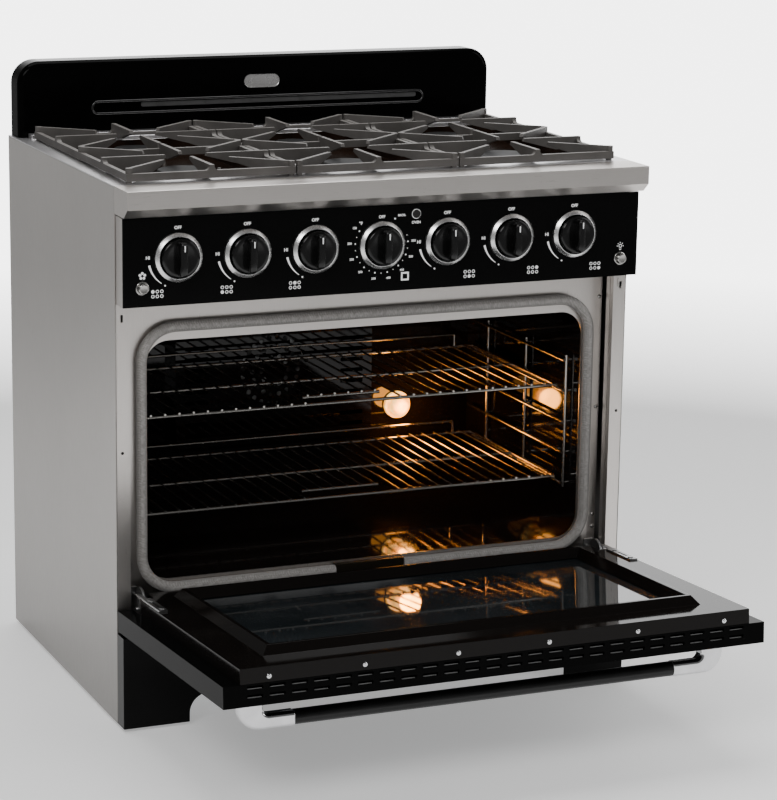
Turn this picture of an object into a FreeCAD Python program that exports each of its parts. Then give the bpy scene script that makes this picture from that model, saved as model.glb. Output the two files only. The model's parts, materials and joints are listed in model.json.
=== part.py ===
import FreeCAD, Part
import math
import os

Vector = FreeCAD.Vector

# Freestanding gas range with its oven door lying open, in millimetres.
# The row frame has +Z up from the floor, +X to the right seen from the front and +Y towards the
# back. Depths are given as f, the distance in front of the cabinet's back plane.

# ---- driving dimensions ----
WIDTH = 912.0
FLOOR_GAP = 6.0
DECK_TOP = 894.0
CASE_DEPTH = 605.0
SHEET = 2.0

KICK_FRONT = 638.0
KICK_TOP = 161.0
ARCH_HALF = 342.0
ARCH_TOP = 53.0
ARCH_RADIUS = 32.0

POST_INNER = 431.5
FRAME_FRONT = 565.0
OPENING_HALF = 393.0
OPENING_LOW = 232.0
OPENING_HIGH = 632.0
OPENING_RADIUS = 40.0
CAVITY_HALF = 398.0
CAVITY_HIGH = 634.0
CAVITY_BACK = 95.0
GASKET_RADIUS = 9.0
GASKET_HALF = 402.5
GASKET_LOW = 219.0
GASKET_HIGH = 656.0
GASKET_CORNER = 58.0

PANEL_LOW = 705.0
PANEL_HIGH = 847.0
PANEL_FRONT = 642.0
PANEL_HALF = 454.0
BULLNOSE_FRONT = 672.0
BULLNOSE_FACE_LOW = 864.5
BEVEL_FRONT = 654.4
BULLNOSE_LOW = 850.0

KNOB_PITCH = 116.1
KNOB_ROW_CENTRE = -14.6
KNOB_HEIGHT = 782.0
KNOB_RADIUS = 31.0
BEZEL_RADIUS = 39.5
KNOB_BACK = 5.0
KNOB_SKIRT = 10.0
KNOB_DEPTH = 30.0
GRIP_HALF_WIDTH = 9.5
GRIP_HALF_HEIGHT = 27.0
BEZEL_DEPTH = 11.0
STEM_RADIUS = 4.0
STEM_HOLE = 4.05
BUTTON_X = 422.0
BUTTON_HEIGHT = 735.0
BUTTON_RADIUS = 8.5
BUTTON_PROUD = 9.0
INDICATOR_X = 46.0
INDICATOR_Z = 830.0
INDICATOR_RADIUS = 7.0
OVEN_KNOB = 4

HINGE_F = 607.5
HINGE_Z = 198.9
DOOR_OPEN_DEG = 86.5
DOOR_HALF = 455.0
DOOR_THICK = 34.0
DOOR_BELOW = 1.5
DOOR_ABOVE = 500.4
NOTCH_RADIUS = 40.0
HINGE_ARM_REACH = 128.0
PAN_HALF = 428.0
PAN_RISE = 24.0
RIM_HALF = 372.0
RIM_LOW = 34.0
RIM_HIGH = 445.0
RIM_RISE = 14.0
RIM_SLOPE = 12.0
RIM_FLAT = 6.0
HANDLE_UP = 437.0
HANDLE_REACH = 42.7
HANDLE_RADIUS = 12.0
HANDLE_HALF = 411.6
HANDLE_BAR_HALF = 322.0

GRATE_FRONT = 592.0
GRATE_BACK = 78.0
GRATE_WIDTH = 285.5
GRATE_GAP = 2.5
GRATE_FOOT = 3.0
GRATE_BAR = 12.0
GRATE_RISE = 24.0
BURNER_BACK_F = 207.0
BURNER_FRONT_F = 463.0
WELL_BACK = 118.0
WELL_FRONT = 568.0
WELL_HALF = 131.0
WELL_DEPTH = 22.0

BACKGUARD_HALF = 450.0
BACKGUARD_DEPTH = 48.0
BACKGUARD_TOP = 1026.0
BACKGUARD_CORNER = 40.0
VENT_HALF = 315.0
VENT_LOW = 933.0
VENT_HIGH = 951.0
BADGE_HALF = 34.0
BADGE_LOW = 968.0
BADGE_HIGH = 992.0

RACK_HALF = 388.0
RACK_FRONT = 496.0
RACK_BACK = 142.0
RACK_WIRES = 30
RUNG_LOW = 316.0
RUNG_PITCH = 55.0
RUNGS = 5
RUNG_RADIUS = 3.0
RACK_BAR_RADIUS = 3.0
RACK_WIRE_RADIUS = 1.8
RACK_STOP_RISE = 23.0
UPPER_RACK_RUNG = 3

FAN_HEIGHT = 463.0
FAN_RADIUS = 66.0
LAMP_X = 253.0
LAMP_Z = 374.0
FAN_COVER_HALF = 190.0
FAN_COVER_LOW = 320.0
FAN_COVER_HIGH = 596.0
FAN_COVER_DEPTH = 30.0
AIR_HOLE_RADIUS = 4.5

GAS_INLET_X = 370.0
GAS_INLET_Z = 130.0
GAS_PIPE_RADIUS = 10.65
GAS_INLET_LENGTH = 35.0
GAS_RECESS_HALF = 50.0

# ---- derived dimensions ----
HALF = WIDTH / 2
OPEN_RAD = math.radians(DOOR_OPEN_DEG)
DOOR_TIP = (
    HINGE_F + DOOR_ABOVE * math.sin(OPEN_RAD) + DOOR_THICK * math.cos(OPEN_RAD)
)
BACK_Y = DOOR_TIP / 2
KNOB_XS = [KNOB_ROW_CENTRE + (k - 3) * KNOB_PITCH for k in range(7)]
GRATE_XS = [k * (GRATE_WIDTH + GRATE_GAP) for k in (-1, 0, 1)]
DOOR_OUTER = HINGE_F + DOOR_THICK
DOOR_LOW = HINGE_Z - DOOR_BELOW
DOOR_HIGH = HINGE_Z + DOOR_ABOVE
PAN_FACE = HINGE_F - PAN_RISE
GASKET_F = FRAME_FRONT + GASKET_RADIUS
WELL_FLOOR = DECK_TOP - WELL_DEPTH

X_AXIS = Vector(1, 0, 0)
Z_AXIS = Vector(0, 0, 1)
FORWARD = Vector(0, -1, 0)


# ---- building helpers ----
def at(x, f, z):
    """A point from its x, its distance in front of the back plane and its height."""
    return Vector(x, BACK_Y - f, z)


def block(x0, x1, f0, f1, z0, z1):
    """A rectangular block between two x, two depths and two heights."""
    return Part.makeBox(x1 - x0, f1 - f0, z1 - z0, at(x0, f1, z0))


def rod(start, end, radius):
    """A round bar from one point to another."""
    run = end - start
    return Part.makeCylinder(radius, run.Length, start, run)


def disc(x, z, f0, f1, radius):
    """A cylinder along the depth of the range, from f0 to f1."""
    return Part.makeCylinder(radius, f1 - f0, at(x, f0, z), FORWARD)


def cone(x, z, f0, f1, radius0, radius1):
    """A tapering round along the depth of the range."""
    return Part.makeCone(radius0, radius1, f1 - f0, at(x, f0, z), FORWARD)


def joined(shapes):
    """One solid made of several that meet."""
    shapes = list(shapes)
    if len(shapes) == 1:
        return shapes[0]
    return shapes[0].multiFuse(shapes[1:]).removeSplitter()


def prism(points, direction):
    """A closed outline of points swept straight along a direction."""
    wire = Part.makePolygon(points + [points[0]])
    return Part.Face(wire).extrude(direction)


def side_profile(outline, x0, x1):
    """An outline of (f, z) points swept along x."""
    return prism([at(x0, f, z) for f, z in outline], Vector(x1 - x0, 0, 0))


def rounded_wire(x0, x1, z0, z1, radius, f):
    """A rectangle with rounded corners, upright at depth f."""
    corners = [(x1, z0, -90), (x1, z1, 0), (x0, z1, 90), (x0, z0, 180)]
    inset = {-90: (-1, 1), 0: (-1, -1), 90: (1, -1), 180: (1, 1)}
    edges, last, first = [], None, None
    for x, z, start in corners:
        dx, dz = inset[start]
        cx, cz = x + dx * radius, z + dz * radius
        a, m, b = [
            at(cx + radius * math.cos(t), f, cz + radius * math.sin(t))
            for t in [math.radians(start + turn) for turn in (0, 45, 90)]
        ]
        if last is None:
            first = a
        elif (a - last).Length > 1e-6:
            edges.append(Part.makeLine(last, a))
        edges.append(Part.Arc(a, m, b).toShape())
        last = b
    if (first - last).Length > 1e-6:
        edges.append(Part.makeLine(last, first))
    return Part.Wire(edges)


def rounded_block(x0, x1, z0, z1, radius, f0, f1):
    """An upright rectangle with rounded corners, swept from depth f0 to f1."""
    face = Part.Face(rounded_wire(x0, x1, z0, z1, radius, f0))
    return face.extrude(FORWARD * (f1 - f0))


def rounded_plate(x0, x1, f0, f1, radius, z0, z1):
    """A level plate with rounded corners."""
    plate = block(x0, x1, f0, f1, z0, z1)
    upright = [e for e in plate.Edges if abs(e.tangentAt(e.FirstParameter).z) > 0.99]
    return plate.makeFillet(radius, upright)


def opened(shape):
    """Swings a shape from the closed door to the open rest position."""
    shape = shape.copy()
    shape.rotate(at(0, HINGE_F, HINGE_Z), X_AXIS, DOOR_OPEN_DEG)
    return shape


def mirrored(shape):
    """The left-hand twin of a right-hand shape."""
    return shape.mirror(Vector(0, 0, 0), X_AXIS)


# ---- cabinet ----
def side_panel():
    """The right-hand skin with folded flanges along its top, bottom and back."""
    top = DECK_TOP - SHEET
    skin = block(HALF - SHEET, HALF, 0, CASE_DEPTH, FLOOR_GAP, top)
    flanges = [
        block(HALF - 18, HALF, 0, CASE_DEPTH - SHEET, FLOOR_GAP, FLOOR_GAP + SHEET),
        block(HALF - 18, HALF, 0, CASE_DEPTH - SHEET, top - SHEET, top),
        block(HALF - 18, HALF, 0, SHEET, FLOOR_GAP, top),
    ]
    return joined([skin] + flanges)


def back_panel():
    """The back sheet, with a rounded recess for the gas connection and rows of louvres."""
    inner = HALF - 18.5
    panel = block(-inner, inner, 0, SHEET, 20, DECK_TOP - SHEET)
    recess = rounded_block(
        GAS_INLET_X - GAS_RECESS_HALF, GAS_INLET_X + GAS_RECESS_HALF,
        GAS_INLET_Z - GAS_RECESS_HALF, GAS_INLET_Z + GAS_RECESS_HALF, 12, -1, SHEET + 1,
    )
    louvres = [
        block(x - 60, x + 60, -1, SHEET + 1, z, z + 6)
        for x in (-220, 0, 220)
        for z in range(760, 850, 18)
    ]
    return panel.cut([recess] + louvres)


def base_pan():
    """The floor of the cabinet, with a folded lip along the front and the back."""
    inner = HALF - SHEET - 0.5
    floor = block(-inner, inner, SHEET + 1, FRAME_FRONT - 3, 60, 62)
    lips = [
        block(-inner + 8, inner - 8, SHEET + 1, 2 * SHEET + 1, 60, 85),
        block(-inner + 26, inner - 26, FRAME_FRONT - 5, FRAME_FRONT - 3, 60, 85),
    ]
    return joined([floor] + lips)


def kick_panel():
    """A folded black plinth with an arched cut-out between two legs."""
    half, back = HALF - 0.5, CASE_DEPTH + 0.3
    shell = block(-half, half, back, KICK_FRONT, FLOOR_GAP, KICK_TOP)
    hollow = block(-half + 2, half - 2, back - 1, KICK_FRONT - 2, 0, KICK_TOP - 2)
    arch = rounded_block(
        -ARCH_HALF, ARCH_HALF, -60, ARCH_TOP, ARCH_RADIUS, back - 1, KICK_FRONT + 1
    )
    return shell.cut([hollow, arch])


def levelling_feet():
    """Four round pads on threaded stems below the cabinet floor."""
    feet = []
    for x in (-425, 425):
        for f in (45, 555):
            pad = Part.makeCylinder(18, FLOOR_GAP, at(x, f, 0))
            stem = Part.makeCylinder(5, 60 - FLOOR_GAP, at(x, f, FLOOR_GAP))
            feet.append(joined([pad, stem]))
    return feet


def folded_sheet(points, thick, z0, z1):
    """An upright folded sheet whose plan is a chain of straight runs of (x, f) points."""
    runs = []
    for (xa, fa), (xb, fb) in zip(points, points[1:]):
        x0, x1 = sorted((xa, xb))
        f0, f1 = sorted((fa, fb))
        runs.append(block(x0, x1 + thick, f0 - thick, f1, z0, z1))
    return joined(runs)


def front_post():
    """The right-hand front upright, a folded channel with a stepped inner wall."""
    outer = HALF - SHEET - 0.3
    chain = [
        (outer - 1.5, CASE_DEPTH),
        (POST_INNER, CASE_DEPTH),
        (POST_INNER, 596),
        (POST_INNER + 6.5, 596),
        (POST_INNER + 6.5, 588),
        (POST_INNER + 2.5, 588),
        (POST_INNER + 2.5, 577),
        (POST_INNER + 9.5, 577),
        (POST_INNER + 9.5, FRAME_FRONT + 1.5),
    ]
    post = folded_sheet(chain, 1.5, 10, BULLNOSE_LOW - 2)
    slot = block(POST_INNER + 11, POST_INNER + 15, CASE_DEPTH - 4, CASE_DEPTH + 1, 675, 687)
    hole = disc(POST_INNER + 13, 461, CASE_DEPTH - 4, CASE_DEPTH + 1, 2.5)
    return post.cut([slot, hole])


def cooktop_deck():
    """The stainless top sheet, with three wells cut out and a raised ledge at the back."""
    sheet = block(-HALF, HALF, 0.5, BULLNOSE_FRONT - 66, DECK_TOP - SHEET, DECK_TOP)
    ledge = block(-HALF + 22, HALF - 22, 50, 73, DECK_TOP - SHEET, DECK_TOP + 8)
    under = block(-HALF + 24, HALF - 24, 52, 71, DECK_TOP - SHEET - 1, DECK_TOP + 6)
    wells = [
        rounded_plate(
            x - WELL_HALF, x + WELL_HALF, WELL_BACK, WELL_FRONT, 26,
            DECK_TOP - 10, DECK_TOP + 10,
        )
        for x in GRATE_XS
    ]
    return joined([sheet, ledge]).cut([under] + wells)


def front_bullnose():
    """The hollow stainless nosing: upright face, bevel below it and a level underside."""
    back, wall = BULLNOSE_FRONT - 66, 2.0
    outline = [
        (back, DECK_TOP),
        (BULLNOSE_FRONT, DECK_TOP),
        (BULLNOSE_FRONT, BULLNOSE_FACE_LOW),
        (BEVEL_FRONT, BULLNOSE_LOW),
        (back, BULLNOSE_LOW),
    ]
    hollow = [
        (back - 1, DECK_TOP - wall),
        (BULLNOSE_FRONT - wall, DECK_TOP - wall),
        (BULLNOSE_FRONT - wall, BULLNOSE_FACE_LOW + 0.8),
        (BEVEL_FRONT - 0.8, BULLNOSE_LOW + wall),
        (back - 1, BULLNOSE_LOW + wall),
    ]
    body = side_profile(outline, -HALF, HALF)
    edge = [
        e
        for e in body.Edges
        if abs(e.Length - WIDTH) < 1e-3
        and e.CenterOfMass.z > DECK_TOP - 1
        and e.CenterOfMass.y < BACK_Y - BULLNOSE_FRONT + 1
    ]
    body = body.makeFillet(1.6, edge)
    return body.cut(side_profile(hollow, -HALF + wall, HALF - wall))


def burner_pan(x):
    """An enamelled tray hanging below one well."""
    half = WELL_HALF - 0.5
    outer = rounded_plate(
        x - half, x + half, WELL_BACK + 0.5, WELL_FRONT - 0.5, 25.5,
        WELL_FLOOR - SHEET, DECK_TOP,
    )
    inner = rounded_plate(
        x - half + 2, x + half - 2, WELL_BACK + 2.5, WELL_FRONT - 2.5, 23.5,
        WELL_FLOOR, DECK_TOP + 5,
    )
    return outer.cut(inner)


# ---- backguard ----
def backguard_solid(inset):
    """The splash-back's outline drawn in by an inset, with a rounded front edge."""
    half = BACKGUARD_HALF - inset
    body = rounded_block(
        -half, half, DECK_TOP - 60, BACKGUARD_TOP - inset, BACKGUARD_CORNER - inset,
        0.5 if inset == 0 else -5, BACKGUARD_DEPTH - inset,
    )
    front_edges = [
        e for e in body.Edges if abs(e.CenterOfMass.y - (BACK_Y - BACKGUARD_DEPTH + inset)) < 0.01
    ]
    body = body.makeFillet(10 - inset, front_edges)
    return body.cut(block(-HALF, HALF, -10, 80, DECK_TOP - 100, DECK_TOP))


def backguard():
    """A pressed splash-back with rounded corners, a long vent slot and a baffle behind it."""
    shell = backguard_solid(0).cut(backguard_solid(2))
    slot = rounded_block(
        -VENT_HALF, VENT_HALF, VENT_LOW, VENT_HIGH, 8.9, 30, BACKGUARD_DEPTH + 1
    )
    lip = rounded_block(
        -VENT_HALF - 6, VENT_HALF + 6, VENT_LOW - 4, VENT_HIGH + 4, 12.9, 42, BACKGUARD_DEPTH - 2
    )
    baffle = side_profile(
        [(46, 957), (30, 957), (30, 930), (32, 930), (32, 955), (46, 955)], -325, 325
    )
    return joined([shell.cut(slot), lip.cut(slot), baffle])


def badge():
    """A small blank plate with round ends on the splash-back."""
    return rounded_block(
        -BADGE_HALF, BADGE_HALF, BADGE_LOW, BADGE_HIGH, 11.9, BACKGUARD_DEPTH, BACKGUARD_DEPTH + 2.5
    )


# ---- cooktop ----
def fin(start, end, z0, z1, tip, thick):
    """A tapering cast finger: full height at the frame, shallow at its inner tip."""
    run = end - start
    length = run.Length
    along = run.normalize()
    across = Vector(-along.y, along.x, 0) * (thick / 2)
    taper = along * (length * 0.42)
    outline = [
        start + Z_AXIS * z0,
        start + taper + Z_AXIS * z0,
        start + along * length + Z_AXIS * (z1 - tip),
        start + along * (length - 2) + Z_AXIS * z1,
        start + Z_AXIS * z1,
    ]
    return prism([p - across for p in outline], across * 2)


def root_fillets(x, f, along_x, z, radius, thick):
    """The pair of concave fillets between a finger's root and the low bar that carries it."""
    half = thick / 2
    web = []
    for side in (-1, 1):
        if along_x:
            x0, x1 = sorted((x, x + side * radius))
            corner = block(x0, x1, f - half, f + half, z, z + radius)
            start, axis = at(x + side * radius, f - half - 1, z + radius), FORWARD
        else:
            f0, f1 = sorted((f, f + side * radius))
            corner = block(x - half, x + half, f0, f1, z, z + radius)
            start, axis = at(x - half - 1, f + side * radius, z + radius), X_AXIS
        web.append(corner.cut(Part.makeCylinder(radius, thick + 2, start, axis)))
    return web


def grate(cx):
    """One cast grate over two burners: a low frame and sixteen fingers at one level."""
    low = DECK_TOP + GRATE_FOOT
    top = low + GRATE_RISE - GRATE_FOOT
    bar_top = low + GRATE_BAR
    x0, x1 = cx - GRATE_WIDTH / 2, cx + GRATE_WIDTH / 2
    f0, f1 = GRATE_BACK, GRATE_FRONT
    middle = (BURNER_BACK_F + BURNER_FRONT_F) / 2
    bar = 8.0
    frame = [
        block(x0, x0 + bar, f0, f1, low, bar_top),
        block(x1 - bar, x1, f0, f1, low, bar_top),
        block(x0, x1, f1 - bar, f1, low, bar_top),
        block(x0, x1, f0, f0 + bar, low, low + 5),
        block(x0, x1, middle - bar / 2, middle + bar / 2, low, bar_top),
    ]
    feet = [
        Part.makeCylinder(5, GRATE_FOOT, at(x, f, DECK_TOP))
        for x in (x0 + 6, x1 - 6)
        for f in (f0 + 7, middle, f1 - 7)
    ]
    fingers = []
    for burner_f in (BURNER_BACK_F, BURNER_FRONT_F):
        near = f1 if burner_f == BURNER_FRONT_F else middle
        far = middle if burner_f == BURNER_FRONT_F else f0
        reach = [
            ((x0 + 4, burner_f), (cx - 34, burner_f)),
            ((x1 - 4, burner_f), (cx + 34, burner_f)),
            ((cx, near - 4), (cx, burner_f + 27)),
            ((cx, far + 4), (cx, burner_f - 27)),
        ]
        for sx, edge in ((-1, x0 + 4), (1, x1 - 4)):
            for sf, end_f in ((1, near - 4), (-1, far + 4)):
                reach.append(((edge, end_f), (cx + sx * 55, burner_f + sf * 50)))
        for (xa, fa), (xb, fb) in reach:
            fingers.append(fin(at(xa, fa, 0), at(xb, fb, 0), low, top, 5, 7.0))
    posts = [
        Part.makeCylinder(5.5, top - low, at(x, f, low))
        for x in (x0 + 5.5, x1 - 5.5)
        for f in (f0 + 5.5, middle, f1 - 5.5)
    ]
    fillet = 7.5
    for f, bar_f in ((f1 - 4, bar_top), (f0 + 4, low + 5)):
        posts.append(block(cx - 4, cx + 4, f - 4, f + 4, low, top))
        posts += root_fillets(cx - 3.9, f, True, bar_f - 0.1, fillet, bar)[:1]
        posts += root_fillets(cx + 3.9, f, True, bar_f - 0.1, fillet, bar)[1:]
    for x in (x0 + 4, x1 - 4):
        for f in (BURNER_BACK_F, BURNER_FRONT_F):
            posts.append(block(x - 4, x + 4, f - 4, f + 4, low, top))
            posts += root_fillets(x, f - 3.9, False, bar_top - 0.1, fillet, bar)[:1]
            posts += root_fillets(x, f + 3.9, False, bar_top - 0.1, fillet, bar)[1:]
    return joined(frame + feet + fingers + posts)


def burner_sizes():
    """Each burner as its x, its depth and the radius of its flame ring."""
    radii = {(-1, 0): 36, (-1, 1): 44, (0, 0): 30, (0, 1): 40, (1, 0): 36, (1, 1): 50}
    depths = (BURNER_BACK_F, BURNER_FRONT_F)
    return [
        (GRATE_XS[column + 1], depths[row], radius)
        for (column, row), radius in radii.items()
    ]


def burner_bases():
    """The cast flame rings, each with its ceramic igniter beside it."""
    shapes = []
    for x, f, radius in burner_sizes():
        foot = Part.makeCylinder(radius + 9, 4, at(x, f, WELL_FLOOR))
        ring = Part.makeCone(radius + 2, radius, 10, at(x, f, WELL_FLOOR + 4))
        shapes.append(joined([foot, ring]))
        tip = at(x + radius + 14, f, WELL_FLOOR)
        shapes.append(Part.makeCylinder(2.6, 20, tip))
    return shapes


def burner_caps():
    """The loose round caps on the flame rings, with softened top rims."""
    caps = []
    for x, f, radius in burner_sizes():
        cap = Part.makeCylinder(radius + 3, 6, at(x, f, WELL_FLOOR + 14.2))
        rim = [e for e in cap.Edges if e.CenterOfMass.z > WELL_FLOOR + 20]
        caps.append(cap.makeFillet(3, rim))
    return caps


# ---- control panel ----
def panel_holes(f0, f1, stem_radius, button_radius):
    """The holes through the control panel for seven stems and two buttons."""
    stems = [disc(x, KNOB_HEIGHT, f0, f1, stem_radius) for x in KNOB_XS]
    buttons = [disc(x, BUTTON_HEIGHT, f0, f1, button_radius) for x in (-BUTTON_X, BUTTON_X)]
    return stems + buttons


def control_box():
    """The folded stainless box behind the fascia, open to the back."""
    front = PANEL_FRONT - 2.7
    outer = block(-PANEL_HALF, PANEL_HALF, CASE_DEPTH + 0.5, front, PANEL_LOW, PANEL_HIGH)
    inner = block(
        -PANEL_HALF + 2, PANEL_HALF - 2, CASE_DEPTH, front - 2, PANEL_LOW + 2, PANEL_HIGH - 2
    )
    holes = panel_holes(front - 5, front + 5, 2 * STEM_RADIUS, BUTTON_RADIUS + 0.5)
    return outer.cut([inner] + holes)


def control_fascia():
    """The black glass-smooth face plate of the control panel."""
    fascia = block(
        -PANEL_HALF, PANEL_HALF, PANEL_FRONT - 2.5, PANEL_FRONT, PANEL_LOW, PANEL_HIGH
    )
    holes = panel_holes(PANEL_FRONT - 5, PANEL_FRONT + 5, 7, BUTTON_RADIUS + 0.5)
    return fascia.cut(holes)


def knob_bezel(x):
    """The tapering bright ring around one knob."""
    front = PANEL_FRONT + BEZEL_DEPTH
    ring = cone(x, KNOB_HEIGHT, PANEL_FRONT, front, BEZEL_RADIUS, BEZEL_RADIUS - 3.5)
    bore = disc(x, KNOB_HEIGHT, PANEL_FRONT - 1, front + 1, KNOB_RADIUS + 1.5)
    return ring.cut(bore)


def knob(x):
    """A round skirt with a raised upright grip across it."""
    back = PANEL_FRONT + KNOB_BACK
    rim, front = back + KNOB_SKIRT, back + KNOB_DEPTH
    skirt = disc(x, KNOB_HEIGHT, back, rim, KNOB_RADIUS)
    crown = cone(x, KNOB_HEIGHT, rim, rim + 4, KNOB_RADIUS, KNOB_RADIUS - 6)
    grip = rounded_block(
        x - GRIP_HALF_WIDTH, x + GRIP_HALF_WIDTH,
        KNOB_HEIGHT - GRIP_HALF_HEIGHT, KNOB_HEIGHT + GRIP_HALF_HEIGHT,
        GRIP_HALF_WIDTH - 0.1, rim + 2, front,
    )
    front_edges = [e for e in grip.Edges if abs(e.CenterOfMass.y - (BACK_Y - front)) < 0.01]
    grip = grip.makeFillet(5, front_edges)
    body = joined([skirt, crown, grip])
    return body.cut(disc(x, KNOB_HEIGHT, back - 1, back + 18, STEM_HOLE))


def valve_stem(x):
    """The round stem that joins a knob to its valve."""
    return disc(x, KNOB_HEIGHT, 616, PANEL_FRONT + 20, STEM_RADIUS)


def push_button(x):
    """A round push button, pressed in by hand."""
    front = PANEL_FRONT + BUTTON_PROUD
    body = disc(x, BUTTON_HEIGHT, PANEL_FRONT - 6, front, BUTTON_RADIUS)
    face = [e for e in body.Edges if e.CenterOfMass.y < BACK_Y - front + 0.1]
    return body.makeFillet(1.5, face)


def oven_indicator():
    """The small round lens that shows the oven is lit."""
    lens = disc(INDICATOR_X, INDICATOR_Z, PANEL_FRONT, PANEL_FRONT + 2.5, INDICATOR_RADIUS)
    rim = [e for e in lens.Edges if e.CenterOfMass.y < BACK_Y - PANEL_FRONT - 2.4]
    return lens.makeFillet(1.2, rim)


def gas_manifold():
    """The gas train: inlet stub, riser, top run, cross tube, valves and oven thermostat."""
    x, back, front, high = GAS_INLET_X, GAS_INLET_LENGTH + 25, 588.0, KNOB_HEIGHT
    radius = 9.0
    parts = [
        disc(x, GAS_INLET_Z, 0, GAS_INLET_LENGTH, GAS_PIPE_RADIUS),
        disc(x, GAS_INLET_Z, GAS_INLET_LENGTH - 1, back, radius),
        Part.makeSphere(radius, at(x, back, GAS_INLET_Z)),
        rod(at(x, back, GAS_INLET_Z), at(x, back, high), radius),
        Part.makeSphere(radius, at(x, back, high)),
        rod(at(x, back, high), at(x, front, high), radius),
        Part.makeSphere(radius, at(x, front, high)),
        rod(at(x, front, high), at(-400, front, high), radius),
    ]
    parts += [block(k - 13, k + 13, front, 626, high - 15, high + 15) for k in KNOB_XS]
    parts.append(valve_stem(KNOB_XS[OVEN_KNOB - 1]))
    bores = [
        disc(knob_x, high, 612, 630, STEM_HOLE)
        for number, knob_x in enumerate(KNOB_XS, 1)
        if number != OVEN_KNOB
    ]
    return joined(parts).cut(bores)


# ---- oven ----
def oven_front_frame():
    """The stainless face sheet around the oven mouth."""
    edge = POST_INNER - 0.5
    back = FRAME_FRONT - SHEET
    sheet = block(-edge, edge, back, FRAME_FRONT, 62, PANEL_HIGH)
    mouth = rounded_block(
        -OPENING_HALF, OPENING_HALF, OPENING_LOW, OPENING_HIGH, OPENING_RADIUS,
        back - 1, FRAME_FRONT + 1,
    )
    pipe = disc(GAS_INLET_X, KNOB_HEIGHT, back - 1, FRAME_FRONT + 1, 11)
    return sheet.cut([mouth, pipe])


def oven_gasket():
    """A round woven seal around the mouth, broken at the middle of its lower run."""
    path = rounded_wire(
        -GASKET_HALF, GASKET_HALF, GASKET_LOW, GASKET_HIGH, GASKET_CORNER, GASKET_F
    )
    start = at(GASKET_HALF, GASKET_F, (GASKET_LOW + GASKET_HIGH) / 2)
    profile = Part.Wire(Part.makeCircle(GASKET_RADIUS, start, Z_AXIS))
    edges = Part.sortEdges(path.Edges)[0]
    right = next(
        k for k, e in enumerate(edges)
        if e.Length > 100 and abs(e.CenterOfMass.x - GASKET_HALF) < 0.1
    )
    ordered = edges[right:] + edges[:right]
    first = ordered[0]
    low, high = sorted([v.Point for v in first.Vertexes], key=lambda p: p.z)
    upward = first.valueAt(first.FirstParameter).z < first.valueAt(first.LastParameter).z
    ends = (high, low) if upward else (low, high)
    halves = [Part.makeLine(start, ends[0])] + ordered[1:] + [Part.makeLine(ends[1], start)]
    tube = Part.Wire(halves).makePipeShell([profile], True, True)
    gap = block(-63, 63, FRAME_FRONT - 1, FRAME_FRONT + 25, GASKET_LOW - 15, GASKET_LOW + 15)
    return tube.cut(gap)


def gasket_clip():
    """The dark bracket that fills the break in the seal."""
    return block(-62.5, 62.5, FRAME_FRONT + 0.3, FRAME_FRONT + 14, GASKET_LOW - 9, GASKET_LOW + 11)


def oven_liner():
    """The floor, roof, right-hand wall and rear wall of the oven."""
    back, front = CAVITY_BACK, FRAME_FRONT - SHEET - 0.5
    low, high, half = OPENING_LOW, CAVITY_HIGH, CAVITY_HALF
    floor = block(-half - 2, half + 2, back, front, low - 2, low)
    roof = block(-half - 2, half + 2, back, front, high, high + 2)
    wall = block(half, half + 2, back, front, low, high)
    rear = block(-half - 2, half + 2, back - 2, back, low - 2, high + 2)
    rear = rear.cut(disc(0, FAN_HEIGHT, back - 5, back + 5, 9))
    return floor, roof, wall, rear


def rung_heights():
    """The heights of the ladder's rungs."""
    return [RUNG_LOW + k * RUNG_PITCH for k in range(RUNGS)]


def rack_support():
    """The right-hand wire ladder that carries the racks."""
    heights = rung_heights()
    x, post_x, back, front = 386.5, 392.0, 128.0, 518.0
    wires = [rod(at(x, back, z), at(x, front, z), RUNG_RADIUS) for z in heights]
    for f in (197, 356, 515):
        wires.append(rod(at(post_x, f, heights[0] - 8), at(post_x, f, heights[-1] + 8), 3))
        wires += [rod(at(x, f, z), at(post_x + 6, f, z), 2.2) for z in heights]
    return joined(wires)


def rack(level):
    """A welded wire shelf with a raised stop at the back and a grab bar at the front."""
    z = RUNG_LOW + level * RUNG_PITCH + 2 * RUNG_RADIUS + 0.3
    bar, stop_z, stop_radius = RACK_BAR_RADIUS, z + RACK_STOP_RISE, 2.4
    side, front, back = RACK_HALF - bar, RACK_FRONT - bar, RACK_BACK + bar
    grab_half, grab_f = 65.0, RACK_FRONT - 56
    wires = [
        rod(at(-side, f, z), at(side, f, z), bar) for f in (front, (front + back) / 2, back)
    ]
    for x in (-side, side):
        wires.append(rod(at(x, front, z), at(x, back, z), bar))
        wires.append(rod(at(x * 0.9, back, z), at(x * 0.9, back, stop_z), stop_radius))
        wires += [Part.makeSphere(bar, at(x, f, z)) for f in (front, back)]
    wires.append(rod(at(-side * 0.9, back, stop_z), at(side * 0.9, back, stop_z), stop_radius))
    wires.append(rod(at(-grab_half - 6, grab_f, z), at(grab_half + 6, grab_f, z), bar))
    pitch, wire_z = 2 * side / (RACK_WIRES + 1), z + 2 * RACK_WIRE_RADIUS
    for k in range(1, RACK_WIRES + 1):
        x = -side + k * pitch
        end = (grab_f if abs(x) < grab_half else front) + bar
        wires.append(rod(at(x, RACK_BACK, wire_z), at(x, end, wire_z), RACK_WIRE_RADIUS))
    return joined(wires)


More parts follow.
